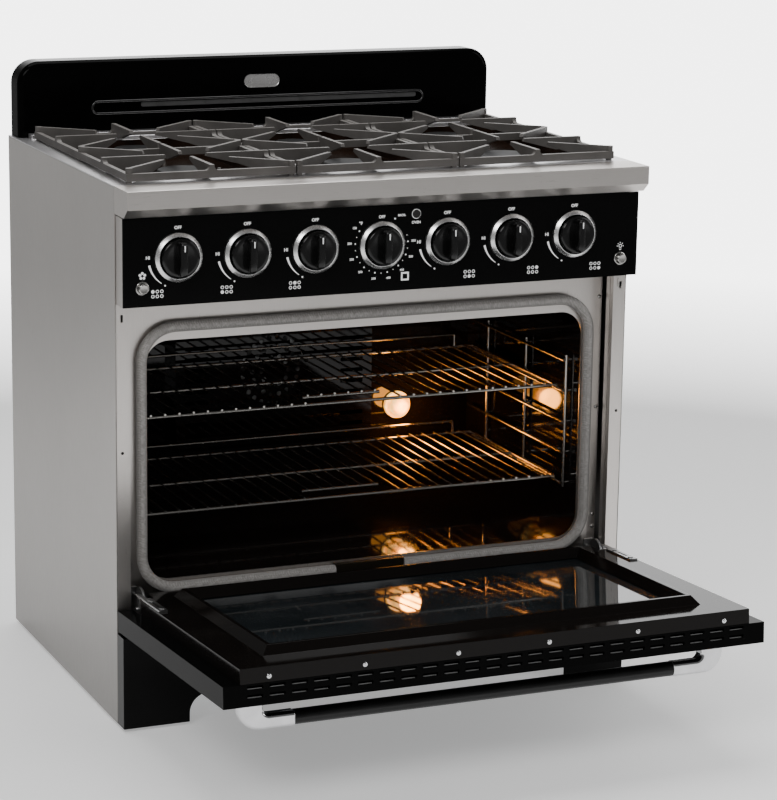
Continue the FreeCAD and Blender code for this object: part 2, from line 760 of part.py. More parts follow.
def fan_cover():
    """A shallow pressed cover in front of the fan, with a slotted ring and side vents."""
    half, low, high = FAN_COVER_HALF, FAN_COVER_LOW, FAN_COVER_HIGH
    front = CAVITY_BACK + FAN_COVER_DEPTH
    outer = rounded_block(-half, half, low, high, 14, CAVITY_BACK, front)
    inner = rounded_block(-half + 2, half - 2, low + 2, high - 2, 12, CAVITY_BACK - 1, front - 2)
    cuts = [inner]
    for ring in (26, 44, 62):
        count = int(2 * math.pi * ring / 15)
        for k in range(count):
            turn = 2 * math.pi * k / count
            x, z = ring * math.cos(turn), FAN_HEIGHT + ring * math.sin(turn)
            cuts.append(disc(x, z, front - 5, front + 1, AIR_HOLE_RADIUS))
    for s in (-1, 1):
        cuts += [
            block(s * 150 - 22, s * 150 + 22, front - 5, front + 1, z, z + 7)
            for z in range(350, 570, 20)
        ]
    return outer.cut(cuts)


def convection_fan():
    """The fan wheel: a back plate, a hub on its shaft and twelve slanting blades."""
    back, front = CAVITY_BACK + 4, CAVITY_BACK + 22
    hub = disc(0, FAN_HEIGHT, back, front, 12)
    plate = disc(0, FAN_HEIGHT, back, back + 2, FAN_RADIUS)
    shaft = disc(0, FAN_HEIGHT, CAVITY_BACK - 20, back + 1, STEM_RADIUS)
    blades = []
    for k in range(12):
        blade = block(30, FAN_RADIUS - 1, back + 1, front, FAN_HEIGHT - 1, FAN_HEIGHT + 1)
        blade.rotate(at(50, 0, FAN_HEIGHT), FORWARD, 35)
        blade.rotate(at(0, 0, FAN_HEIGHT), FORWARD, 30 * k)
        blades.append(blade)
    return joined([hub, plate, shaft] + blades)


def fan_motor():
    """The fan's motor behind the rear wall, with a bore for the shaft."""
    body = disc(0, FAN_HEIGHT, CAVITY_BACK - 62, CAVITY_BACK - 8, 42)
    flange = disc(0, FAN_HEIGHT, CAVITY_BACK - 8, CAVITY_BACK - 2, 55)
    bore = disc(0, FAN_HEIGHT, CAVITY_BACK - 40, CAVITY_BACK, STEM_HOLE)
    return joined([body, flange]).cut(bore)


def oven_lamp():
    """A screw-in lens over the lamp on the rear wall of the oven."""
    collar = disc(LAMP_X, LAMP_Z, CAVITY_BACK, CAVITY_BACK + 8, 25)
    dome = disc(LAMP_X, LAMP_Z, CAVITY_BACK + 8, CAVITY_BACK + 30, 18)
    crown = [e for e in dome.Edges if e.CenterOfMass.y < BACK_Y - CAVITY_BACK - 29]
    return joined([collar, dome.makeFillet(12, crown)])


def broil_burner():
    """The radiant broiler hung under the oven roof."""
    box = block(-165, 165, 230, 470, CAVITY_HIGH - 22, CAVITY_HIGH - 4)
    hollow = block(-158, 158, 237, 463, CAVITY_HIGH - 24, CAVITY_HIGH - 10)
    hangers = [
        block(x - 12, x + 12, f - 8, f + 8, CAVITY_HIGH - 5, CAVITY_HIGH)
        for x in (-140, 140)
        for f in (250, 450)
    ]
    bars = [
        block(-160, 160, f, f + 5, CAVITY_HIGH - 21, CAVITY_HIGH - 15) for f in range(248, 460, 15)
    ]
    return joined([box.cut(hollow)] + hangers + bars)


# ---- door, built closed and swung open ----
def hinge_notches():
    """The two hollows at the lower corners of the door that clear the hinge heads."""
    notches = []
    for s in (-1, 1):
        round_cut = rod(
            at(s * 404, HINGE_F, HINGE_Z), at(s * 430, HINGE_F, HINGE_Z), NOTCH_RADIUS
        )
        inside = block(-HALF, HALF, HINGE_F - 60, HINGE_F + 27, HINGE_Z - 60, HINGE_Z + 60)
        notches.append(round_cut.common(inside))
    return notches


def door_shell():
    """The outer tray of the door: face, rims, inner lips, window and cooling slots."""
    tray = block(-DOOR_HALF, DOOR_HALF, HINGE_F, DOOR_OUTER, DOOR_LOW, DOOR_HIGH)
    pocket = block(
        -DOOR_HALF + 2, DOOR_HALF - 2, HINGE_F + 2, DOOR_OUTER - 2, DOOR_LOW + 2, DOOR_HIGH - 2
    )
    mouth = block(
        -PAN_HALF + 3, PAN_HALF - 3, HINGE_F - 1, HINGE_F + 3, DOOR_LOW + 2, DOOR_HIGH - 2
    )
    window = rounded_block(
        -310, 310, HINGE_Z + 80, HINGE_Z + 390, 12, DOOR_OUTER - 3, DOOR_OUTER + 1
    )
    slots = [
        block(x - 12.4, x + 12.4, f - 2.5, f + 2.5, DOOR_HIGH - 4, DOOR_HIGH + 1)
        for f in (HINGE_F + 5.5, HINGE_F + 19)
        for x in [(k - 11.5) * 35.2 for k in range(24)]
    ]
    return opened(tray.cut([pocket, mouth, window] + slots + hinge_notches()))


def frustum(half0, low0, high0, f0, half1, low1, high1, f1):
    """A four-sided block whose front and back rectangles differ."""
    wires = []
    for half, low, high, f in ((half0, low0, high0, f0), (half1, low1, high1, f1)):
        points = [at(-half, f, low), at(half, f, low), at(half, f, high), at(-half, f, high)]
        wires.append(Part.makePolygon(points + [points[0]]))
    return Part.makeLoft(wires, True, True)


def door_inner_pan():
    """The enamelled inner face with its raised rim around the glass."""
    low, high = HINGE_Z + RIM_LOW, HINGE_Z + RIM_HIGH
    tray = block(-PAN_HALF, PAN_HALF, PAN_FACE, HINGE_F, DOOR_LOW + 0.5, DOOR_HIGH - 0.5)
    hollow = block(
        -PAN_HALF + 2, PAN_HALF - 2, PAN_FACE + 2, HINGE_F + 1, DOOR_LOW + 2.5, DOOR_HIGH - 2.5
    )
    step, top = RIM_SLOPE, PAN_FACE - RIM_RISE
    rim = frustum(
        RIM_HALF, low, high, PAN_FACE + 1, RIM_HALF - step, low + step, high - step, top
    )
    inner = step + RIM_FLAT
    mouth = frustum(
        RIM_HALF - inner - step, low + inner + step, high - inner - step, PAN_FACE + 3,
        RIM_HALF - inner, low + inner, high - inner, top - 0.01,
    )
    return opened(joined([tray.cut(hollow), rim]).cut([mouth] + hinge_notches()))


def door_glass():
    """The inner and outer panes."""
    inset = RIM_SLOPE + RIM_FLAT
    inner = block(
        -RIM_HALF + inset, RIM_HALF - inset, PAN_FACE + 3.2, PAN_FACE + 7.2,
        HINGE_Z + RIM_LOW + inset, HINGE_Z + RIM_HIGH - inset,
    )
    outer = block(
        -325, 325, DOOR_OUTER - 6.2, DOOR_OUTER - 2.2, HINGE_Z + 65, HINGE_Z + 405
    )
    return [opened(inner), opened(outer)]


def door_screws():
    """Six round-headed screws along the top of the inner pan."""
    screws, pitch = [], 153.0
    for k in range(6):
        start = at((k - 2.5) * pitch, HINGE_F - 9, DOOR_HIGH - 0.5)
        head = Part.makeCylinder(4, 1.6, start)
        screws.append(opened(head.makeFillet(0.7, [head.Edges[0]])))
    return screws


def handle_bar():
    """The round black bar of the door handle."""
    f, z = DOOR_OUTER + HANDLE_REACH, HINGE_Z + HANDLE_UP
    return opened(rod(at(-HANDLE_BAR_HALF, f, z), at(HANDLE_BAR_HALF, f, z), HANDLE_RADIUS))


def handle_bracket(side):
    """A cast end piece that bends from the door into the bar."""
    z = HINGE_Z + HANDLE_UP
    f0, f1 = DOOR_OUTER, DOOR_OUTER + HANDLE_REACH + HANDLE_RADIUS
    inner_f = f1 - 2 * HANDLE_RADIUS
    x_in, x_leg, x_out = HANDLE_BAR_HALF + 0.05, 372.0, HANDLE_HALF
    outline = [
        at(x_out, f0, z), at(x_out, f1, z), at(x_in, f1, z),
        at(x_in, inner_f, z), at(x_leg, inner_f, z), at(x_leg, f0, z),
    ]
    body = prism([p - Z_AXIS * HANDLE_RADIUS for p in outline], Z_AXIS * 2 * HANDLE_RADIUS)

    def upright(x, f):
        """The edges that stand at one corner of the outline."""
        return [e for e in body.Edges if (e.CenterOfMass - at(x, f, z)).Length < 0.1]

    body = body.makeFillet(34, upright(x_out, f1))
    body = body.makeFillet(9, upright(x_leg, inner_f))
    long_edges = [
        e for e in body.Edges
        if abs(abs(e.CenterOfMass.z - z) - HANDLE_RADIUS) < 0.01
        and abs(e.CenterOfMass.y - (BACK_Y - f0)) > 0.1
        and abs(e.CenterOfMass.x - x_in) > 0.1
    ]
    body = body.makeFillet(7, long_edges)
    return opened(body if side > 0 else mirrored(body))


def hinge_receiver(side):
    """The cabinet half of a hinge: a plate with a round head and its pin."""
    x0, x1 = 413.0, 417.0
    head = rod(at(x0, HINGE_F - 4, HINGE_Z + 12), at(x1, HINGE_F - 4, HINGE_Z + 12), 23)
    arm = block(x0, x1, FRAME_FRONT + 0.2, HINGE_F, HINGE_Z - 12, HINGE_Z + 16)
    flange = block(
        x0 - 3, x1 + 10, FRAME_FRONT + 0.2, FRAME_FRONT + 3, HINGE_Z - 26, HINGE_Z + 26
    )
    pin = rod(at(x1 - 1, HINGE_F, HINGE_Z), at(x1 + 8, HINGE_F, HINGE_Z), 4)
    body = joined([head, arm, flange, pin])
    return body if side > 0 else mirrored(body)


def hinge_arm(side):
    """The door half of a hinge: an eye on the pin and a flange on the inner pan."""
    x0, x1 = 419.0, 422.0
    eye = rod(at(x0, HINGE_F, HINGE_Z), at(x1, HINGE_F, HINGE_Z), 19)
    end = HINGE_Z + HINGE_ARM_REACH
    web = block(x0, x1, PAN_FACE - 3, HINGE_F, HINGE_Z + 4, HINGE_Z + 16)
    flange = block(x0 - 1, x1 + 4, PAN_FACE - 3, PAN_FACE - 0.3, HINGE_Z + 6, HINGE_Z + 42)
    plate = block(x0 - 6.5, x1 + 5, PAN_FACE - 3, PAN_FACE - 0.3, HINGE_Z + 41, end)
    slot = block(x0 - 2, x0 + 2, PAN_FACE - 5, PAN_FACE + 1, end - 58, end - 24)
    heads = [
        rod(at(x0, PAN_FACE - 4.6, z), at(x0, PAN_FACE - 2.9, z), 4.5)
        for z in (end - 68, end - 11)
    ]
    hole = rod(at(x0 - 1, HINGE_F, HINGE_Z), at(x1 + 1, HINGE_F, HINGE_Z), STEM_HOLE)
    body = joined([eye, web, flange, plate] + heads).cut([slot, hole])
    return opened(body if side > 0 else mirrored(body))


# ---- assembly ----
def all_nodes():
    """Every sub-part under its own name; a list is several solids in one sub-part."""
    floor, roof, wall, rear = oven_liner()
    nodes = {
        "side_panel_left": mirrored(side_panel()),
        "side_panel_right": side_panel(),
        "back_panel": back_panel(),
        "base_pan": base_pan(),
        "kick_panel": kick_panel(),
        "levelling_feet": levelling_feet(),
        "front_posts": [mirrored(front_post()), front_post()],
        "cooktop_deck": cooktop_deck(),
        "front_bullnose": front_bullnose(),
        "burner_pans": [burner_pan(x) for x in GRATE_XS],
        "backguard": backguard(),
        "badge": badge(),
        "burner_bases": burner_bases(),
        "burner_caps": burner_caps(),
        "control_box": control_box(),
        "control_fascia": control_fascia(),
        "knob_bezels": [knob_bezel(x) for x in KNOB_XS],
        "fan_button": push_button(-BUTTON_X),
        "light_button": push_button(BUTTON_X),
        "oven_indicator": oven_indicator(),
        "gas_manifold": gas_manifold(),
        "oven_front_frame": oven_front_frame(),
        "oven_gasket": oven_gasket(),
        "gasket_clip": gasket_clip(),
        "liner_bottom": floor,
        "liner_top": roof,
        "liner_sides": [mirrored(wall), wall],
        "liner_back": rear,
        "rack_supports": [mirrored(rack_support()), rack_support()],
        "rack_lower": rack(0),
        "rack_upper": rack(UPPER_RACK_RUNG),
        "fan_cover": fan_cover(),
        "convection_fan": convection_fan(),
        "fan_motor": fan_motor(),
        "oven_lamp": oven_lamp(),
        "broil_burner": broil_burner(),
        "door_shell": door_shell(),
        "door_inner_pan": door_inner_pan(),
        "door_glass": door_glass(),
        "door_screws": door_screws(),
        "handle_bar": handle_bar(),
        "handle_brackets": [handle_bracket(-1), handle_bracket(1)],
        "hinge_receivers": [hinge_receiver(-1), hinge_receiver(1)],
        "hinge_arms": [hinge_arm(-1), hinge_arm(1)],
    }
    for name, x in zip(("left", "centre", "right"), GRATE_XS):
        nodes["grate_" + name] = grate(x)
    for number, x in enumerate(KNOB_XS, 1):
        nodes["knob_%d" % number] = knob(x)
        if number != OVEN_KNOB:
            nodes["valve_stem_%d" % number] = valve_stem(x)
    return nodes


os.makedirs("parts", exist_ok=True)
for name, shape in all_nodes().items():
    if isinstance(shape, list):
        shape = Part.makeCompound(shape)
    shape.exportStep(os.path.join("parts", name + ".step"))
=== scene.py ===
import json
import math

import bmesh
import bpy
from mathutils import Matrix, Vector


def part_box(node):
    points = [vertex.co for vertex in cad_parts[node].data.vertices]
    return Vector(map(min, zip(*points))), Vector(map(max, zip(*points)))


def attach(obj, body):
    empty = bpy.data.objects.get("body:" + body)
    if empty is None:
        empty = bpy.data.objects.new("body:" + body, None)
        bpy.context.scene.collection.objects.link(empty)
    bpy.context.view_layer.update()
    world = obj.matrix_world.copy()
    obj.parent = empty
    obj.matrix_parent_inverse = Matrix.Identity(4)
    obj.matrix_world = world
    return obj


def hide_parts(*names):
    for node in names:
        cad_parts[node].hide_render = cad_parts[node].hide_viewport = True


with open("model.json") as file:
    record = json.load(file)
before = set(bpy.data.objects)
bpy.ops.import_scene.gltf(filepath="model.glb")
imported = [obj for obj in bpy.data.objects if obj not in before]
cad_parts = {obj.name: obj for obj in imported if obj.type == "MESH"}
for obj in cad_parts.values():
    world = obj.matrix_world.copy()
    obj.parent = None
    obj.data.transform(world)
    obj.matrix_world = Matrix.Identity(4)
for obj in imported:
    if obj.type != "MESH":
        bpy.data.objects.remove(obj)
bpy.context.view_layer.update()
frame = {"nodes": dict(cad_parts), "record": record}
MM = 0.001
CABINET = "cabinet"


# ---- node helpers for the materials ----
def ranged(nodes, links, value, span, result, interpolation="LINEAR"):
    """Turns a value that runs over span into one that runs over result."""
    node = nodes.new("ShaderNodeMapRange")
    node.interpolation_type = interpolation
    links.new(value, node.inputs["Value"])
    for key, number in zip(("From Min", "From Max", "To Min", "To Max"), (*span, *result)):
        node.inputs[key].default_value = number
    return node.outputs["Result"]


class Shader:
    """One material: its node tree and short calls that add nodes to it."""

    def __init__(self, name, **settings):
        self.material = bpy.data.materials.new(name)
        self.material.use_nodes = True
        self.nodes = self.material.node_tree.nodes
        self.links = self.material.node_tree.links
        self.surface = self.nodes["Principled BSDF"]
        for key, value in settings.items():
            self.surface.inputs[key.replace("_", " ")].default_value = value
        self.place = self.nodes.new("ShaderNodeTexCoord").outputs["Object"]

    def add(self, kind, settings=None, **inputs):
        node = self.nodes.new(kind)
        for key, value in (settings or {}).items():
            setattr(node, key, value)
        for key, value in inputs.items():
            self.feed(node.inputs[key.replace("_", " ")], value)
        return node

    def feed(self, socket, value):
        if isinstance(value, bpy.types.NodeSocket):
            self.links.new(value, socket)
        else:
            socket.default_value = value

    def stretched(self, scale):
        """Object coordinates in metres, multiplied along each axis."""
        node = self.add("ShaderNodeMapping", Vector=self.place)
        node.inputs["Scale"].default_value = scale
        return node.outputs["Vector"]

    def noise(self, scale, detail=4.0, roughness=0.55, vector=None):
        node = self.add(
            "ShaderNodeTexNoise", Vector=vector or self.place, Scale=scale, Detail=detail,
            Roughness=roughness,
        )
        return node.outputs["Fac"]

    def remap(self, value, low, high, start=0.3, end=0.7):
        """Turns a noise value between start and end into a value between low and high."""
        return ranged(self.nodes, self.links, value, (start, end), (low, high))

    def mix(self, factor, a, b):
        node = self.add("ShaderNodeMix", {"data_type": "RGBA"})
        self.feed(node.inputs[0], factor)
        self.feed(node.inputs[6], a)
        self.feed(node.inputs[7], b)
        return node.outputs[2]

    def math(self, operation, a, b):
        node = self.nodes.new("ShaderNodeMath")
        node.operation = operation
        self.feed(node.inputs[0], a)
        self.feed(node.inputs[1], b)
        return node.outputs[0]

    def colour(self, value):
        self.feed(self.surface.inputs["Base Color"], value)

    def roughness(self, value):
        self.feed(self.surface.inputs["Roughness"], value)

    def bump(self, height, strength, distance):
        node = self.add("ShaderNodeBump", Height=height)
        node.inputs["Strength"].default_value = strength
        node.inputs["Distance"].default_value = distance
        self.links.new(node.outputs["Normal"], self.surface.inputs["Normal"])


def grey(value):
    """An opaque neutral colour."""
    return (value, value, value, 1.0)


def darker(tone, share):
    """The same colour with only a share of its brightness."""
    return tuple(c * share for c in tone[:3]) + (1,)


# ---- materials ----
def brushed_steel(name, tone, rough, grain=(1.0, 1.0, 60.0)):
    """Sheet steel with fine straight grain: the grain axes are long where the scale is small."""
    s = Shader(name, Metallic=1.0, Anisotropic=0.5)
    lines = s.noise(28.0, 6.0, 0.6, s.stretched(grain))
    cloud = s.noise(2.2, 3.0)
    shade = s.mix(s.remap(cloud, 0.0, 1.0), darker(tone, 0.9), tone)
    s.colour(s.mix(s.remap(lines, 0.0, 0.3), shade, darker(tone, 0.78)))
    s.roughness(s.remap(lines, rough - 0.03, rough + 0.05))
    s.bump(lines, 0.03, 0.0001)
    return s.material


def enamel(name, tone, speck, rough=0.07, gloss=0.3, ior=1.45):
    """Fired enamel: deep gloss, a faint orange-peel surface and tiny specks.

    The black faces take an index of refraction lower than real enamel's, to keep them dark.
    """
    s = Shader(name, Specular_IOR_Level=gloss, IOR=ior)
    specks = s.add("ShaderNodeTexVoronoi", Vector=s.place, Scale=420.0)
    spots = s.remap(specks.outputs["Distance"], 1.0, 0.0, 0.0, 0.16)
    s.colour(s.mix(spots, tone, speck))
    peel = s.noise(160.0, 2.0)
    smear = s.noise(6.0, 4.0, 0.6)
    s.roughness(s.remap(smear, rough, rough + 0.07))
    s.bump(peel, 0.025, 0.0004)
    return s.material


def painted_black(name, rough):
    """Satin or matt black paint with a fine tooth."""
    s = Shader(name, Specular_IOR_Level=0.3)
    cloud = s.noise(9.0, 4.0)
    fine = s.noise(900.0, 2.0)
    s.colour(s.mix(s.remap(cloud, 0.0, 1.0), grey(0.004), grey(0.009)))
    s.roughness(s.remap(cloud, rough, rough + 0.1))
    s.bump(fine, 0.05, 0.0002)
    return s.material


def cast_iron(name):
    """Porcelain-coated casting: dark grey grain, with a painted paler tone on the faces that point
    up, where light from above falls.
    """
    s = Shader(name, Specular_IOR_Level=0.55)
    grain = s.noise(520.0, 5.0, 0.65)
    cloud = s.noise(14.0, 4.0)
    geometry = s.add("ShaderNodeNewGeometry")
    split = s.add("ShaderNodeSeparateXYZ", Vector=geometry.outputs["Normal"])
    top = s.remap(split.outputs["Z"], 0.0, 1.0, 0.25, 0.95)
    base = s.mix(s.remap(cloud, 0.0, 1.0), (0.055, 0.050, 0.046, 1), (0.095, 0.088, 0.082, 1))
    # painted light: faces that point up get this paler, grainy colour, as if lit from above
    painted_light_top = s.mix(s.remap(grain, 0.0, 1.0), (0.13, 0.12, 0.112, 1), (0.21, 0.20, 0.19, 1))
    s.colour(s.mix(top, base, painted_light_top))
    s.roughness(s.remap(grain, 0.42, 0.62))
    s.bump(grain, 0.35, 0.0005)
    return s.material


# The side sheets' base colour is scaled by height, in metres. It copies the photograph's
# falling light, and isn't a property of the sheet.
SIDE_HEIGHTS = (0.0, 0.9)
SIDE_SHARES = (0.45, 1.15)


def side_sheet(name):
    """Brushed side sheet with painted shade: its base colour is darkened towards the floor and
    lightened near the top.
    """
    material = brushed_steel(name, (0.60, 0.575, 0.55, 1), 0.34, (1.0, 40.0, 1.5))
    nodes, links = material.node_tree.nodes, material.node_tree.links
    surface = nodes["Principled BSDF"]
    steel = surface.inputs["Base Color"].links[0].from_socket
    split = nodes.new("ShaderNodeSeparateXYZ")
    place = next(n for n in nodes if n.bl_idname == "ShaderNodeTexCoord").outputs["Object"]
    links.new(place, split.inputs["Vector"])
    share = ranged(nodes, links, split.outputs["Z"], SIDE_HEIGHTS, SIDE_SHARES)
    # painted shade and light: the steel's colour scaled by height, darker towards the floor
    painted_shading = nodes.new("ShaderNodeVectorMath")
    painted_shading.operation = "SCALE"
    links.new(steel, painted_shading.inputs[0])
    links.new(share, painted_shading.inputs["Scale"])
    links.new(painted_shading.outputs["Vector"], surface.inputs["Base Color"])
    return material


def bright_metal(name, tone, rough):
    """Plain metal with a faint haze in its colour and polish."""
    s = Shader(name, Metallic=1.0)
    haze = s.noise(40.0, 4.0)
    s.colour(s.mix(s.remap(haze, 0.0, 1.0), tone, darker(tone, 0.86)))
    s.roughness(s.remap(haze, rough, rough + 0.06))
    return s.material


def moulded_plastic(name, low, high, rough):
    """Lightly textured plastic under a thin gloss coat."""
    s = Shader(name, Coat_Weight=0.4, Coat_Roughness=0.05)
    cloud = s.noise(60.0, 3.0)
    s.colour(s.mix(s.remap(cloud, 0.0, 1.0), low, high))
    s.roughness(s.remap(cloud, rough, rough + 0.08))
    s.bump(s.noise(1400.0, 2.0), 0.03, 0.0001)
    return s.material


def woven_braid(name):
    """Glass-fibre sleeve: two crossing families of pale threads over a dark core."""
    s = Shader(name, Sheen_Weight=0.2)
    waves = [
        s.add(
            "ShaderNodeTexWave", {"wave_type": "BANDS", "bands_direction": "DIAGONAL"},
            Vector=s.stretched(scale), Scale=1.0, Distortion=0.6,
        ).outputs["Fac"]
        for scale in ((150, 150, 150), (-150, 150, -150))
    ]
    weave = s.math("MAXIMUM", waves[0], waves[1])
    fuzz = s.noise(260.0, 4.0)
    threads = s.mix(s.remap(fuzz, 0.0, 1.0), (0.20, 0.19, 0.18, 1), (0.40, 0.385, 0.37, 1))
    s.colour(s.mix(s.remap(weave, 0.0, 1.0, 0.1, 0.9), (0.15, 0.14, 0.13, 1), threads))
    s.roughness(s.remap(fuzz, 0.5, 0.75))
    s.bump(weave, 0.35, 0.0006)
    return s.material


def oven_glass(name):
    """Tinted, reflective glass with a faint film."""
    s = Shader(name, IOR=1.52, Transmission_Weight=0.35, Coat_Weight=0.25, Coat_Roughness=0.0)
    film = s.noise(8.0, 4.0)
    s.colour(s.mix(s.remap(film, 0.0, 1.0), (0.012, 0.016, 0.018, 1), (0.03, 0.036, 0.04, 1)))
    s.roughness(s.remap(film, 0.02, 0.06))
    return s.material


def lit_glass(name, tone, strength):
    """Frosted glass lit from inside."""
    s = Shader(name, Emission_Strength=strength)
    frost = s.noise(300.0, 3.0)
    s.colour(s.mix(s.remap(frost, 0.0, 1.0), tone, (1.0, 0.93, 0.8, 1)))
    s.roughness(s.remap(frost, 0.25, 0.45))
    flutes = s.noise(70.0, 2.0)
    hot = s.mix(s.remap(flutes, 0.0, 1.0, 0.4, 0.6), tone, (1.0, 0.66, 0.20, 1))
    s.feed(s.surface.inputs["Emission Color"], hot)
    return s.material


INK_GLOW = 0.22


def print_ink(name, low, high):
    """Screen-printed ink with a slight painted glow, so that it reads white in dim light."""
    s = Shader(name, Emission_Strength=INK_GLOW)
    speckle = s.noise(1800.0, 2.0)
    s.colour(s.mix(s.remap(speckle, 0.0, 1.0), low, high))
    s.roughness(s.remap(speckle, 0.35, 0.5))
    return s.material


FLOOR_RADIUS = 4.2
FLOOR_GLOW = 0.35
FLOOR_FADE = (2.2, 4.0)


def floor_paint(name):
    """Pale paint with a glow of its own, which fades out towards the edge of the floor."""
    s = Shader(name, Emission_Strength=FLOOR_GLOW)
    s.surface.inputs["Emission Color"].default_value = grey(1.0)
    cloud = s.noise(3.0, 3.0)
    s.colour(s.mix(s.remap(cloud, 0.0, 1.0), grey(0.9), grey(0.93)))
    s.roughness(s.remap(cloud, 0.6, 0.7))
    length = s.add("ShaderNodeVectorMath", {"operation": "LENGTH"})
    s.links.new(s.place, length.inputs[0])
    s.feed(s.surface.inputs["Alpha"], s.remap(length.outputs["Value"], 1.0, 0.0, *FLOOR_FADE))
    return s.material


STEEL = (0.76, 0.72, 0.685, 1)
MATERIALS = {
    "side": side_sheet("side_steel"),
    "steel": brushed_steel("front_steel", STEEL, 0.30, (60.0, 1.0, 1.0)),
    "deck": brushed_steel("deck_steel", (0.95, 0.935, 0.945, 1), 0.30, (1.0, 60.0, 1.0)),
    "nosing": brushed_steel("nosing_steel", STEEL, 0.30, (0.6, 40.0, 40.0)),
    "sheet": brushed_steel("galvanised_sheet", (0.46, 0.48, 0.49, 1), 0.42, (8.0, 8.0, 8.0)),
    "machine": brushed_steel("machine_steel", (0.42, 0.42, 0.42, 1), 0.33, (30.0, 30.0, 30.0)),
    "gloss_black": enamel("gloss_black_enamel", grey(0.002), grey(0.006), 0.05, 0.3, 1.25),
    "door_black": enamel("door_shell_enamel", grey(0.0015), grey(0.005), 0.07, 0.35, 1.12),
    "oven": enamel("speckled_oven_enamel", (0.006, 0.0045, 0.004, 1), (0.05, 0.04, 0.035, 1), 0.02),
    "door_pan": enamel(
        "door_pan_enamel", (0.005, 0.004, 0.0035, 1), (0.03, 0.026, 0.024, 1), 0.06, 0.5, 1.22
    ),
    "well": enamel("brown_well_enamel", (0.016, 0.009, 0.006, 1), (0.05, 0.035, 0.025, 1), 0.12),
    "satin_black": painted_black("satin_black_paint", 0.28),
    "iron": cast_iron("cast_iron"),
    "burner": bright_metal("cast_aluminium", (0.42, 0.41, 0.39, 1), 0.38),
    "chrome": bright_metal("bright_chrome", (0.76, 0.76, 0.77, 1), 0.05),
    "wire": bright_metal("nickel_wire", (0.50, 0.48, 0.45, 1), 0.20),
    "bronze": bright_metal("dark_bronze", (0.10, 0.085, 0.06, 1), 0.35),
    "screen": bright_metal("broiler_screen", (0.46, 0.30, 0.19, 1), 0.28),
    "bezel": bright_metal("polished_bezel", (0.92, 0.915, 0.91, 1), 0.24),
    "knob": enamel("knob_plastic", grey(0.003), grey(0.008), 0.09, 0.5),
    "button": moulded_plastic("button_plastic", grey(0.32), grey(0.4), 0.25),
    "stud": bright_metal("button_metal", (0.5, 0.49, 0.47, 1), 0.22),
    "lens": moulded_plastic("smoked_lens", (0.004, 0.004, 0.004, 1), (0.01, 0.009, 0.008, 1), 0.1),
    "gasket": woven_braid("woven_gasket"),
    "glass": oven_glass("door_glass_tinted"),
    "lamp": lit_glass("lit_lamp_glass", (1.0, 0.34, 0.02, 1), 2.2),
    "cap": painted_black("matt_burner_cap", 0.5),
    "strip": moulded_plastic("grey_vent_strip", grey(0.045), grey(0.06), 0.45),
    "slat": moulded_plastic("louvre_slat", grey(0.30), grey(0.36), 0.4),
    "lip": enamel("vent_lip_enamel", grey(0.01), grey(0.02), 0.16, 0.8),
    "ink": print_ink("white_print", grey(0.88), grey(0.95)),
}

FINISH = {
    "side": ["side_panel_left", "side_panel_right"],
    "steel": ["front_posts", "oven_front_frame", "control_box"],
    "deck": ["cooktop_deck"],
    "nosing": ["front_bullnose"],
    "sheet": ["back_panel", "base_pan"],
    "machine": ["levelling_feet", "fan_motor", "convection_fan", "hinge_arms", "hinge_receivers"],
    "gloss_black": ["control_fascia", "kick_panel"],
    "door_black": ["door_shell", "backguard"],
    "oven": ["liner_top", "liner_bottom", "liner_sides", "liner_back", "fan_cover"],
    "door_pan": ["door_inner_pan"],
    "well": ["burner_pans"],
    "satin_black": ["handle_bar"],
    "bronze": ["gasket_clip"],
    "iron": ["grate_left", "grate_centre", "grate_right"],
    "screen": ["broil_burner"],
    "cap": ["burner_caps"],
    "burner": ["burner_bases", "gas_manifold"],
    "chrome": ["knob_bezels", "badge", "handle_brackets", "door_screws"],
    "knob": ["knob_%d" % n for n in range(1, 8)],
    "button": ["fan_button", "light_button"],
    "lens": ["oven_indicator"],
    "wire": ["rack_upper", "rack_lower", "rack_supports"]
    + ["valve_stem_%d" % n for n in (1, 2, 3, 5, 6, 7)],
    "gasket": ["oven_gasket"],
    "glass": ["door_glass"],
    "lamp": ["oven_lamp"],
}
BODY_OF = {n: b for b, group in frame["record"]["behaviour"]["bodies"].items() for n in group}


# ---- mesh helpers ----
def link(thing):
    """Puts an object in the scene."""
    bpy.context.scene.collection.objects.link(thing)


def keep(mesh, name, material, body, smooth_angle=35.0):
    """Turns a bmesh into a finished object that rides on a body."""
    data = bpy.data.meshes.new(name)
    mesh.to_mesh(data)
    mesh.free()
    data.materials.append(MATERIALS[material])
    piece = bpy.data.objects.new(name, data)
    link(piece)
    shade(piece, smooth_angle)
    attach(piece, body)
    return piece


def shade(piece, angle):
    """Smooth faces, with edges sharper than the angle kept crisp."""
    mesh = bmesh.new()
    mesh.from_mesh(piece.data)
    limit = math.radians(angle)
    for face in mesh.faces:
        face.smooth = True
    for edge in mesh.edges:
        edge.smooth = len(edge.link_faces) == 2 and edge.calc_face_angle(0) < limit
    mesh.to_mesh(piece.data)
    mesh.free()


def rounded_copy(node, width, segments):
    """A finished copy of a CAD node whose sharp edges are rounded over."""
    mesh = bmesh.new()
    mesh.from_mesh(frame["nodes"][node].data)
    bmesh.ops.remove_doubles(mesh, verts=mesh.verts, dist=1e-6)
    bmesh.ops.dissolve_limit(
        mesh, angle_limit=math.radians(0.5), verts=mesh.verts, edges=mesh.edges
    )
    material = next(m for m, group in FINISH.items() if node in group)
    piece = keep(mesh, node + "_skin", material, BODY_OF[node])
    rounding = piece.modifiers.new("edges", "BEVEL")
    rounding.width = width
    rounding.segments = segments
    rounding.limit_method = "ANGLE"
    rounding.angle_limit = math.radians(40)
    rounding.harden_normals = True
    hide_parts(node)
    return piece


for material, group in FINISH.items():
    for node in group:
        data = frame["nodes"][node].data
        data.materials.clear()
        data.materials.append(MATERIALS[material])


